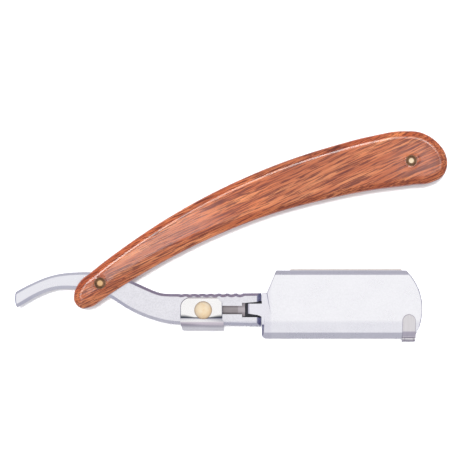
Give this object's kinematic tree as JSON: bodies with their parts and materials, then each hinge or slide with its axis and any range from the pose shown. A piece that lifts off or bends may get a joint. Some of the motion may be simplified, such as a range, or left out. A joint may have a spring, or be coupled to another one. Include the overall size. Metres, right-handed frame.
{
  "type": "straight razor",
  "caption": "Folding barber razor with a curved wooden handle, a curved tail, and a head that opens on a hinge to take half of a double-edge blade.",
  "frame": {"origin": "centre of the bounding box's base: the razor lies on its back scale, opened as it is stored here", "axes": "+X along the arm from tail to nose, +Y from the spine towards the cutting edge, +Z out of the front face"},
  "size_m": [0.1442, 0.0704, 0.011],
  "materials": {
    "wood": "gloss lacquered red-brown hardwood with dark streaks",
    "brass": "polished",
    "cup_brass": "tarnished, dull",
    "cast_steel": "fine bead-blasted satin",
    "clip_steel": "polished sheet",
    "hinge_steel": "satin sheet",
    "blade_steel": "ground and honed",
    "dark_steel": "dark oxide"
  },
  "bodies": {
    "handle": {"front_scale": "wood", "back_scale": "wood", "end_spacer": "wood", "pivot_pin": "brass", "pivot_cup_front": "cup_brass", "pivot_cup_back": "cup_brass", "tang_washer_front": "brass", "tang_washer_back": "brass", "end_pin": "brass", "end_cup_front": "cup_brass", "end_cup_back": "cup_brass"},
    "blade_arm": {"arm": "cast_steel", "blade": "blade_steel", "blade_studs": "blade_steel", "hinge_leaf_back": "hinge_steel", "hinge_pin": "hinge_steel"},
    "cover_jaw": {"front_jaw": "cast_steel", "hinge_leaf_front": "hinge_steel"},
    "lock": {"lock_clip": "clip_steel", "lock_rivet": "brass", "lock_washer": "brass", "lock_bar": "dark_steel"}
  },
  "joints": [
    {"name": "arm_pivot", "type": "hinge", "parent": "handle", "child": "blade_arm", "pos_m": [-0.04343, -0.01546, 0.0055], "axis": [0, 0, 1], "range_deg": [-248.5, 25.4]},
    {"name": "jaw_hinge", "type": "hinge", "parent": "blade_arm", "child": "cover_jaw", "pos_m": [0.05957, -0.03406, 0.0055], "axis": [1, 0, 0], "range_deg": [0, 90]},
    {"name": "lock_slide", "type": "slide", "parent": "blade_arm", "child": "lock", "axis": [1, 0, 0], "range_m": [0, 0.0114]}
  ]
}
